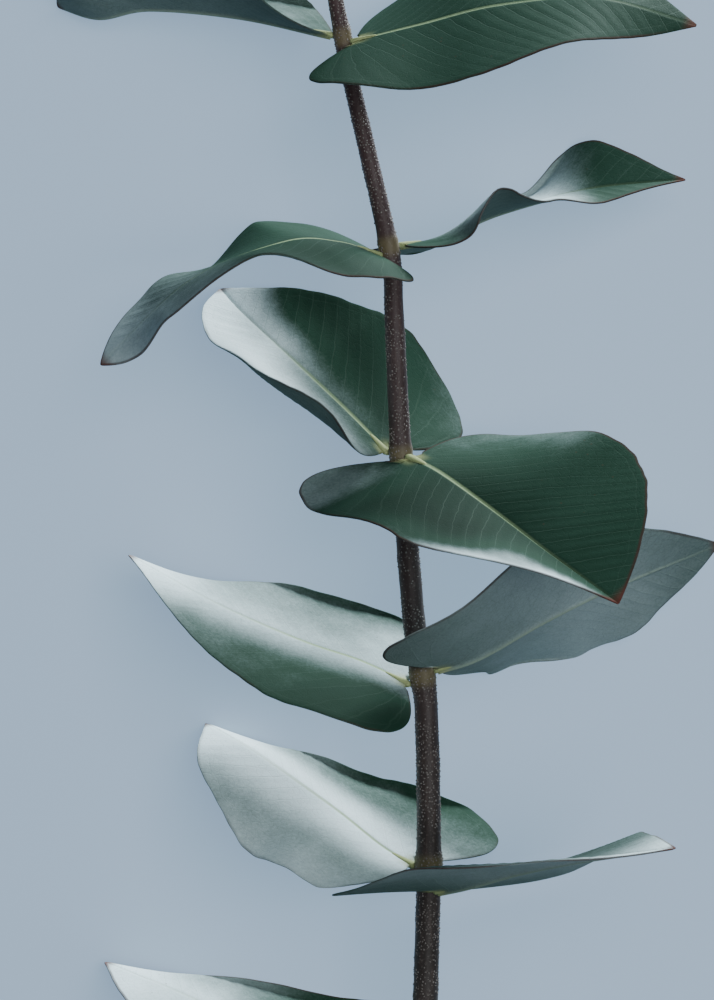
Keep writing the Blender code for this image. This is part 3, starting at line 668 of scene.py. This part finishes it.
def bud_paint():
    """The youngest leaves: pale grey-green with a red-brown edge and tip."""
    made, sheet, shader = paint("Young folded leaf", {"Specular IOR Level": 0.45, "Sheen Weight": 0.2})
    spot = sheet.node("ShaderNodeTexCoord", output=3)
    share = sheet.kept("share")
    seam = sheet.kept("seam")
    cloud = sheet.noise(spot, 700.0, 3.0)
    drawn = sheet.node("ShaderNodeMapping", {}, {"Vector": spot, "Scale": (1.0, 0.2, 1.0)})
    rib = sheet.noise(drawn, 2600.0, 2.0)
    skin = sheet.mix(cloud, colour(0.10, 0.16, 0.11), colour(0.24, 0.33, 0.28))
    skin = sheet.mix(seam * 0.75, skin, colour(0.13, 0.045, 0.035))
    skin = sheet.mix(sheet.step(share, 0.75, 1.0) * 0.7, skin, colour(0.16, 0.050, 0.040))
    bump = sheet.node("ShaderNodeBump", {}, {"Strength": 1.0, "Distance": 0.0001, "Height": rib * 0.7 + cloud * 0.3})
    feed(sheet, shader, {"Base Color": skin, "Roughness": 0.45 + cloud * 0.15, "Normal": bump})
    return made


def margin_distance(flat, edge):
    """How far points of the flat leaf are from its edge, in millimetres."""
    ends = edge[1:] - edge[:-1]
    best = np.full(len(flat), 1e9)
    for start, way in zip(edge[:-1], ends):
        size = max(way @ way, 1e-12)
        share = np.clip(((flat - start) @ way) / size, 0.0, 1.0)
        best = np.minimum(best, np.linalg.norm(flat - start - share[:, None] * way, axis=1))
    return best


def vein_order(x, away):
    """Which vein a place on the flat leaf belongs to: whole numbers fall between the veins."""
    flow = x - LATERAL_SLANT * away - LATERAL_BOW * away**2
    fan = FAN_GAP * flow / np.sqrt(x * x + away * away + 1.0)
    return np.where(flow > 0, flow, fan) / LATERAL_GAP


def fine_leaf(name, leaf, stem, finish, chance, rows=121, columns=26):
    """A whole blade as a closed thin solid, with its midrib's ridge below and its place kept at each point."""
    blade = Blade(leaf, stem)
    length, half = blade.length, blade.half_width
    place = np.linspace(0.0, 1.0, rows)
    middle = place**1.3
    share = 0.5 - 0.5 * np.cos(np.pi * np.linspace(0.0, 1.0, columns + 1))
    grids, flats = [], []
    for side, reach in zip((-1, 1), leaf.get("lobes", (1.0, 1.0))):
        edge = leaf_edge(place, leaf.get("widest", 0.26), reach, leaf.get("blunt", 0.0))
        waves = [(chance.uniform(4, 9), chance.uniform(0, 6)), (chance.uniform(13, 22), chance.uniform(0, 6))]
        wobble = sum(np.sin(2 * np.pi * count * place + phase) / (1 + k) for k, (count, phase) in enumerate(waves))
        hold = np.clip(place / 0.12, 0, 1) * np.clip((1 - place) / 0.06, 0, 1)
        edge[:, 1] = edge[:, 1] * (1 + wobble * hold * EDGE_WOBBLE / half)
        along = middle[:, None] * (1 - share) + edge[:, :1] * share
        across = edge[:, 1:] * share
        grids.append(blade.points(along, across, side))
        flats.append(np.stack([along * length, across * half * side], axis=-1))
    grid = np.concatenate([grids[0][:, :0:-1], grids[1]], axis=1)
    flat = np.concatenate([flats[0][:, :0:-1], flats[1]], axis=1)
    wide = grid.shape[1]
    edge = np.concatenate([flat[:, 0], flat[::-1, -1]])
    margin = margin_distance(flat.reshape(-1, 2), edge).reshape(rows, wide)
    normal = unit(np.cross(np.gradient(grid, axis=1), np.gradient(grid, axis=0)))
    x, away = flat[..., 0], np.abs(flat[..., 1])
    run = np.clip(x / length, 0.0, 1.0)
    thick = MARGIN_HALF + (BLADE_HALF - MARGIN_HALF) * np.clip(margin / MARGIN_FALL, 0, 1) ** 0.5
    if leaf["joint"] > 8:
        thick = thick * 0.85
    taper = (1.0 - run) ** 0.7
    scale = min(1.0, half / 20.0)
    ridge = MIDRIB_RISE * scale * taper * np.exp(-((away / (MIDRIB_WIDTH * scale * (0.45 + 0.55 * taper))) ** 2))
    groove = MIDRIB_GROOVE * scale * np.exp(-((away / (MIDRIB_WIDTH * scale * 0.7)) ** 2))
    order = vein_order(x, away) + np.where(flat[..., 1] > 0, 0.46, 0.0)
    quilt = QUILT_RISE * np.cos(2 * np.pi * (order - 0.0)) * np.clip(away / 4, 0, 1) * np.clip(margin / 3, 0, 1)
    top = grid + normal * (thick - groove + quilt)[..., None]
    low = grid - normal * (thick + ridge - quilt)[..., None]
    floor = 0.02
    low[..., 2] = np.maximum(low[..., 2], floor)
    top[..., 2] = np.maximum(top[..., 2], low[..., 2] + 0.1)
    loop = [(0, j) for j in range(wide)] + [(i, wide - 1) for i in range(1, rows)]
    loop += [(rows - 1, j) for j in range(wide - 2, -1, -1)] + [(i, 0) for i in range(rows - 2, 0, -1)]
    rim = np.array([grid[i, j] for i, j in loop])
    inner = np.array([grid[min(max(i, 1), rows - 2), min(max(j, 1), wide - 2)] for i, j in loop])
    rim = rim + unit(rim - inner) * RIM_OUT
    rim[:, 2] = np.maximum(rim[:, 2], floor)
    count = rows * wide
    points = np.concatenate([top.reshape(-1, 3), low.reshape(-1, 3), rim])
    faces = []
    for i in range(rows - 1):
        for j in range(wide - 1):
            a = i * wide + j
            b, c, d = a + 1, a + wide + 1, a + wide
            faces.append((a, b, c, d))
            faces.append((count + a, count + d, count + c, count + b))
    for k in range(len(loop)):
        (i, j), (m, n) = loop[k], loop[(k + 1) % len(loop)]
        here, there = i * wide + j, m * wide + n
        side, after = 2 * count + k, 2 * count + (k + 1) % len(loop)
        faces.append((here, side, after, there))
        faces.append((side, count + here, count + there, after))
    neck_points, neck_faces = neck(blade, max(0.4, min(1.0, half / 20.0)))
    faces.extend(tuple(corner + len(points) for corner in face) for face in neck_faces)
    points = np.concatenate([points, neck_points])
    # The pale levels are partly the real waxy coat and partly painted light: highlight where they are high, shade where
    # they are below zero.
    wax_and_painted_light = spread_wax_and_light(leaf.get("wax_and_light", UPPER_BLOOM), run, flat[..., 1] / half)
    under_wax_and_painted_light = keyed(leaf.get("under_wax_and_light", UPPER_BLOOM[0]), run)
    where = np.concatenate([flat, margin[..., None]], axis=-1).reshape(-1, 3)
    look = np.stack([run, np.zeros_like(run), wax_and_painted_light], axis=-1).reshape(-1, 3)
    below = np.stack([run, np.ones_like(run), under_wax_and_painted_light], axis=-1).reshape(-1, 3)
    pick = [i * wide + j for i, j in loop]
    at_neck = np.tile((0.0, 0.0, 9.0), (len(neck_points), 1))
    attributes = {
        "flat": np.concatenate([where, where, where[pick] * (1, 1, 0), at_neck]),
        "look": np.concatenate([look, below, look[pick] + (0.0, 0.5, 0.0), at_neck * (0, 0, 0.03)]),
        "tone": np.full(len(points), chance.uniform(-0.5, 0.5)),
    }
    made = mesh_object(name, to_world(points), faces, finish, attributes)
    face_outward(made.data)
    return made


def spread_wax_and_light(rows, run, across):
    """The pale level, partly waxy coat and partly painted highlight and shade, from rows that run from the left edge
    (-1) to the right edge (1).
    """
    levels = np.array([keyed(row, run) for row in rows])
    place = np.clip(across / 2.0 + 0.5, 0.0, 1.0) * (len(rows) - 1)
    index = np.minimum(place.astype(int), len(rows) - 2)
    step = place - index
    step = step * step * (3.0 - 2.0 * step)
    low, high = [np.take_along_axis(levels, (index + k)[None], axis=0)[0] for k in (0, 1)]
    return low * (1.0 - step) + high * step


def neck(blade, scale):
    """A short thick stalk that ties the blade's base to the stem, as rings of points and their faces."""
    sides, rings = 14, 12
    tangent, up = blade.tangent[0], blade.normal[0]
    sideways = np.cross(tangent, up)
    points = []
    for k in range(rings):
        share = k / (rings - 1)
        run = -0.9 + 5.4 * share * scale
        index = min(max(run, 0.0) / blade.length * (len(blade.path) - 1), len(blade.path) - 2)
        low = int(index)
        centre = blade.path[low] + (blade.path[low + 1] - blade.path[low]) * (index - low) + tangent * min(run, 0.0)
        closing = math.sqrt(max(1.0 - (2 * share - 1) ** 6, 0.0))
        wide = (1.25 - 0.75 * share) * scale * closing + 0.01
        high = (0.62 - 0.34 * share) * scale * closing + 0.01
        turn = np.linspace(0.0, 2 * np.pi, sides, endpoint=False)
        points.append(centre + np.outer(np.cos(turn), sideways) * wide + np.outer(np.sin(turn), up) * high)
    points = np.concatenate(points)
    points[:, 2] = np.maximum(points[:, 2], 0.02)
    faces = [tuple(range(sides)), tuple(range((rings - 1) * sides, rings * sides))]
    for i in range(rings - 1):
        for j in range(sides):
            a, b = i * sides + j, i * sides + (j + 1) % sides
            faces.append((a, b, b + sides, a + sides))
    return points, faces


def grow(name, source, tree, settings):
    """A tree of geometry nodes worked out on a mesh, as a plain mesh piece."""
    carrier = bpy.data.objects.new(name + "_source", source)
    bpy.context.scene.collection.objects.link(carrier)
    modifier = carrier.modifiers.new("Growth", "NODES")
    modifier.node_group = tree
    for item in tree.interface.items_tree:
        if item.item_type == "SOCKET" and item.in_out == "INPUT" and item.name in settings:
            modifier[item.identifier] = settings[item.name]
    carrier.update_tag()
    bpy.context.view_layer.update()
    ready = carrier.evaluated_get(bpy.context.evaluated_depsgraph_get())
    mesh = bpy.data.meshes.new_from_object(ready)
    mesh.name = name
    carrier.modifiers.remove(modifier)
    bpy.data.objects.remove(carrier, do_unlink=True)
    made = bpy.data.objects.new(name, mesh)
    bpy.context.scene.collection.objects.link(made)
    return made


def growth_tree(name, inputs):
    """An empty tree of geometry nodes with named inputs, as (tree, sheet, its inputs by name)."""
    tree = bpy.data.node_groups.new(name, "GeometryNodeTree")
    tree.interface.new_socket("Geometry", in_out="INPUT", socket_type="NodeSocketGeometry")
    for label, kind in inputs.items():
        tree.interface.new_socket(label, in_out="INPUT", socket_type=kind)
    tree.interface.new_socket("Geometry", in_out="OUTPUT", socket_type="NodeSocketGeometry")
    sheet = Sheet(tree)
    entry = tree.nodes.new("NodeGroupInput")
    return tree, sheet, {socket.name: Value(sheet, socket) for socket in entry.outputs if socket.name}


def finish_tree(tree, sheet, shape, finish):
    """Ends a tree: instances made real, smooth faces and the material."""
    shape = sheet.node("GeometryNodeRealizeInstances", {}, {"Geometry": shape})
    shape = sheet.node("GeometryNodeSetShadeSmooth", {}, {"Geometry": shape})
    shape = sheet.node("GeometryNodeSetMaterial", {}, {"Geometry": shape, "Material": finish})
    end = tree.nodes.new("NodeGroupOutput")
    tree.links.new(shape.socket, end.inputs[0])


def bark_tree():
    """A tube along a line: the line's own radius, a slanted cut at its start and a fine bark relief."""
    tree, sheet, given = growth_tree("Bark tube", {
        "Sides": "NodeSocketInt",
        "Cut Centre": "NodeSocketVector",
        "Cut Side": "NodeSocketVector",
        "Cut Way": "NodeSocketVector",
        "Relief": "NodeSocketFloat",
        "Finish": "NodeSocketMaterial",
    })

    def own(name):
        return sheet.node("GeometryNodeInputNamedAttribute", {"data_type": "FLOAT"}, {"Name": name})

    def vector(operation, first, second, output=0):
        key = "Scale" if operation == "SCALE" else 1
        return sheet.node("ShaderNodeVectorMath", {"operation": operation}, {0: first, key: second}, output)

    line = sheet.node("GeometryNodeMeshToCurve", {}, {"Mesh": given["Geometry"]})
    circle = sheet.node("GeometryNodeCurvePrimitiveCircle", {"mode": "RADIUS"},
                        {"Resolution": given["Sides"], "Radius": 1.0})
    tube = sheet.node("GeometryNodeCurveToMesh", {}, {
        "Curve": line, "Profile Curve": circle, "Scale": own("radius"), "Fill Caps": True})
    place = sheet.node("GeometryNodeInputPosition")
    across = vector("DOT_PRODUCT", vector("SUBTRACT", place, given["Cut Centre"]), given["Cut Side"], 1)
    slant = vector("SCALE", given["Cut Way"], across * own("slant"))
    drawn = vector("MULTIPLY", place, (1.0, 0.25, 1.0))
    grain = sheet.node("ShaderNodeTexNoise", {}, {"Vector": drawn, "Scale": 900.0, "Detail": 2.0})
    lump = sheet.node("ShaderNodeTexNoise", {}, {"Vector": place, "Scale": 260.0, "Detail": 1.0})
    rise = (grain + lump - 1.0) * given["Relief"] * own("skin")
    rough = vector("SCALE", sheet.node("GeometryNodeInputNormal"), rise)
    tube = sheet.node("GeometryNodeSetPosition", {}, {"Geometry": tube, "Offset": vector("ADD", slant, rough)})
    finish_tree(tree, sheet, tube, given["Finish"])
    return tree


def gland_tree():
    """Small round glands scattered over a surface, sunk a little into it."""
    tree, sheet, given = growth_tree("Scattered glands", {
        "Apart": "NodeSocketFloat",
        "Density": "NodeSocketFloat",
        "Gland Radius": "NodeSocketFloat",
        "Seed": "NodeSocketInt",
        "Finish": "NodeSocketMaterial",
    })
    place = sheet.node("GeometryNodeInputPosition")
    cluster = sheet.node("ShaderNodeTexNoise", {}, {"Vector": place, "Scale": 220.0, "Detail": 1.0})
    skin = sheet.node("GeometryNodeInputNamedAttribute", {"data_type": "FLOAT"}, {"Name": "skin"})
    factor = sheet.step(cluster, 0.30, 0.62) * sheet.sum("GREATER_THAN", skin, 0.5)
    spots = sheet.node("GeometryNodeDistributePointsOnFaces", {"distribute_method": "POISSON"}, {
        "Mesh": given["Geometry"], "Distance Min": given["Apart"], "Density Max": given["Density"],
        "Density Factor": factor, "Seed": given["Seed"]})
    turned = Value(sheet, spots.socket.node.outputs["Rotation"])
    gland = sheet.node("GeometryNodeMeshIcoSphere", {}, {"Radius": given["Gland Radius"], "Subdivisions": 1})
    size = sheet.node("FunctionNodeRandomValue", {"data_type": "FLOAT_VECTOR"}, {
        0: (0.6, 0.6, 0.45), 1: (1.35, 1.35, 1.0), "Seed": given["Seed"]})
    glands = sheet.node("GeometryNodeInstanceOnPoints", {}, {
        "Points": spots, "Instance": gland, "Rotation": turned, "Scale": size})
    finish_tree(tree, sheet, glands, given["Finish"])
    return tree


def make_stem(stem, bark, gland):
    """The stem's bark tube and its glands."""
    line, radius, swelling = stem
    way = unit(line[-1] - line[-2])
    count = 700
    reading = np.linspace(0.0, len(line) - 1.0, count)
    reading = np.insert(reading, 1, 0.06)
    index = np.arange(len(line))
    fine = np.stack([np.interp(reading, index, line[:, k]) for k in range(3)], axis=1)
    thick = np.interp(reading, index, radius)
    joint = np.interp(reading, index, swelling)
    for along in [BARE_JOINT, *JOINTS.values()]:
        thick = thick + 0.09 * np.exp(-(((fine[:, 1] - along - 1.1) / 0.35) ** 2))
    round_end = np.sin(np.linspace(0.0, np.pi / 2, 9))[1:]
    fine = np.concatenate([fine, fine[-1] + np.outer(round_end, way) * radius[-1] * 0.5])
    thick = np.concatenate([thick, np.maximum(thick[-1] * np.sqrt(1 - round_end**2), 0.01)])
    joint = np.concatenate([joint, np.zeros(len(round_end))])
    run = np.concatenate([[0.0], np.cumsum(np.linalg.norm(np.diff(fine, axis=0), axis=1))])
    mesh = bpy.data.meshes.new("stem_line")
    mesh.from_pydata([tuple(point) for point in to_world(fine)], [(k, k + 1) for k in range(len(fine) - 1)], [])
    kept = {
        "radius": thick * MM,
        "joint": joint,
        "young": np.clip((fine[:, 1] + 70.0) / 190.0, 0.0, 1.0),
        "cut": (run < 0.01).astype(float),
        "skin": (run > 0.3).astype(float),
        "slant": np.clip(1.0 - run / 10.0, 0.0, 1.0) * CUT_SLOPE,
    }
    for key, values in kept.items():
        mesh.attributes.new(key, "FLOAT", "POINT").data.foreach_set("value", values.astype(np.float32))
    cut_way = unit(line[1] - line[0])
    tube = grow("stem_bark", mesh, bark_tree(), {
        "Sides": 32,
        "Cut Centre": tuple(to_world(line[0])),
        "Cut Side": tuple(unit(np.cross(cut_way, (0.0, 0.0, 1.0)))),
        "Cut Way": tuple(cut_way),
        "Relief": 0.16 * MM,
        "Finish": bark,
    })
    face_outward(tube.data)
    glands = grow("stem_glands", tube.data.copy(), gland_tree(), {
        "Apart": 0.34 * MM,
        "Density": 3.2 / MM**2,
        "Gland Radius": 0.17 * MM,
        "Seed": 4,
        "Finish": gland,
    })
    return tube, glands


def face_outward(mesh):
    """Turns every face of a closed mesh outward and keeps the rim of a flat many-sided end crisp."""
    shape = bmesh.new()
    shape.from_mesh(mesh)
    bmesh.ops.recalc_face_normals(shape, faces=shape.faces)
    for face in shape.faces:
        if len(face.verts) > 6:
            face.smooth = False
            for edge in face.edges:
                edge.smooth = False
    shape.to_mesh(mesh)
    shape.free()


def make_bud(stem, finish):
    """The growing tip: two cupped young leaves that still face each other."""
    line, radius = stem[:2]
    tangent = unit(line[-1] - line[-2])
    side = unit(np.cross(tangent, (0.0, 0.0, 1.0)))
    rise = np.cross(side, tangent)
    base = line[-1] + tangent * (radius[-1] * 0.5 + SEAT_GAP * 0.2)
    rows, wide = 40, 17
    points, faces, share_kept, seam_kept = [], [], [], []
    for half in (1, -1):
        first = len(points)
        for wall in (0.0, 0.34):
            for i in range(rows):
                share = i / (rows - 1)
                swell = math.sin(math.pi * max(share, 0.02) ** 0.75) ** 0.8 if share < 1 else 0.0
                gape = 0.32 * share**3
                for j in range(wide):
                    across = 2 * j / (wide - 1) - 1
                    turn = across * math.pi / 2 * 0.96
                    depth = (BUD_DEPTH / 2 - wall) * swell
                    width = (BUD_WIDTH / 2 - wall * 0.9) * swell
                    offset = side * math.sin(turn) * width
                    offset = offset + rise * half * (math.cos(turn) * depth + 0.05 + gape)
                    points.append(base + tangent * BUD_LENGTH * share * (1.0 - 0.02 * (wall > 0)) + offset)
                    share_kept.append(share)
                    seam_kept.append(abs(across) ** 6)
        inner = first + rows * wide
        for i in range(rows - 1):
            for j in range(wide - 1):
                a = first + i * wide + j
                faces.append((a, a + 1, a + wide + 1, a + wide))
                b = inner + i * wide + j
                faces.append((b, b + wide, b + wide + 1, b + 1))
        loop = [(0, j) for j in range(wide)] + [(i, wide - 1) for i in range(1, rows)]
        loop += [(rows - 1, j) for j in range(wide - 2, -1, -1)] + [(i, 0) for i in range(rows - 2, 0, -1)]
        for (i, j), (m, n) in zip(loop, loop[1:] + loop[:1]):
            a, b = first + i * wide + j, first + m * wide + n
            faces.append((a, a + rows * wide, b + rows * wide, b))
    attributes = {"share": share_kept, "seam": seam_kept}
    made = mesh_object("tip_leaves", to_world(np.array(points)), faces, finish, attributes)
    shape = bmesh.new()
    shape.from_mesh(made.data)
    bmesh.ops.remove_doubles(shape, verts=shape.verts, dist=1e-7)
    bmesh.ops.dissolve_degenerate(shape, edges=shape.edges, dist=1e-7)
    bmesh.ops.recalc_face_normals(shape, faces=shape.faces)
    shape.to_mesh(made.data)
    shape.free()
    return made


def make_stage():
    """A pale table, a large soft light behind the leaves, a light from above and a weak fill."""
    table, sheet, shader = paint("Pale table", {"Roughness": 0.9, "Specular IOR Level": 0.1})
    shader.inputs["Base Color"].default_value = colour(0.20, 0.23, 0.26)
    shader.inputs["Emission Color"].default_value = colour(0.276, 0.410, 0.580)
    shader.inputs["Emission Strength"].default_value = 1.0
    mesh = bpy.data.meshes.new("table")
    reach = 1.5
    mesh.from_pydata([(-reach, -reach, 0), (reach, -reach, 0), (reach, reach, 0), (-reach, reach, 0)], [],
                     [(0, 1, 2, 3)])
    mesh.materials.append(table)
    floor = bpy.data.objects.new("table", mesh)
    bpy.context.scene.collection.objects.link(floor)
    floor.visible_shadow = False
    world = bpy.data.worlds.new("Soft room")
    bpy.context.scene.world = world
    world.use_nodes = True
    world.node_tree.nodes["Background"].inputs["Color"].default_value = colour(0.62, 0.72, 0.82)
    world.node_tree.nodes["Background"].inputs["Strength"].default_value = 0.16
    area_light("Back", (0.34, 0.66, -0.42), 0.50, 34.0, (0.90, 0.97, 1.0))
    area_light("Top", (0.28, 0.05, 0.95), 0.70, 9.0, (0.95, 0.98, 1.0))


def area_light(name, place, size, power, tint):
    """A square soft light that looks at the branch."""
    data = bpy.data.lights.new(name, "AREA")
    data.size = size
    data.energy = power
    data.color = tint
    lamp = bpy.data.objects.new(name, data)
    lamp.location = place
    lamp.rotation_euler = (Vector((0.0, -0.03, 0.02)) - Vector(place)).to_track_quat("-Z", "Y").to_euler()
    bpy.context.scene.collection.objects.link(lamp)


def make_camera():
    """The camera looks straight down at the middle of the photographed part."""
    data = bpy.data.cameras.new("Camera")
    data.sensor_fit = "VERTICAL"
    data.sensor_height = 36.0
    data.lens = data.sensor_height * CAMERA_RISE / VIEW_HEIGHT
    data.clip_start = 0.01
    camera = bpy.data.objects.new("Camera", data)
    camera.location = (-BOX_MIDDLE[0] * MM, -BOX_MIDDLE[1] * MM, (STEM_HEIGHT + CAMERA_RISE) * MM)
    bpy.context.scene.collection.objects.link(camera)
    bpy.context.scene.camera = camera


def keep(piece, node):
    """Ties a finished piece to the root body and hides the imported part of its node."""
    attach(piece, "root")
    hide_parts(node)


def main():
    leaf_finish = leaf_paint()
    stem = stem_line()
    tube, glands = make_stem(stem, bark_paint(), gland_paint())
    keep(tube, "stem")
    keep(glands, "stem")
    chance = random.Random(WAVE_SEED)
    detail = random.Random(5)
    leaves = dict(LARGE_LEAVES)
    for joint in UPPER_PAIRS:
        for side, word in ((-1, "left"), (1, "right")):
            leaves[f"leaf_{joint}_{word}"] = upper_leaf(joint, side, stem, chance)
    for name, leaf in leaves.items():
        rows, columns = (121, 26) if leaf["joint"] < 7 else (61, 14)
        keep(fine_leaf(name + "_blade", leaf, stem, leaf_finish, detail, rows, columns), name)
    keep(make_bud(stem, bud_paint()), "tip_bud")
    make_stage()
    make_camera()


main()
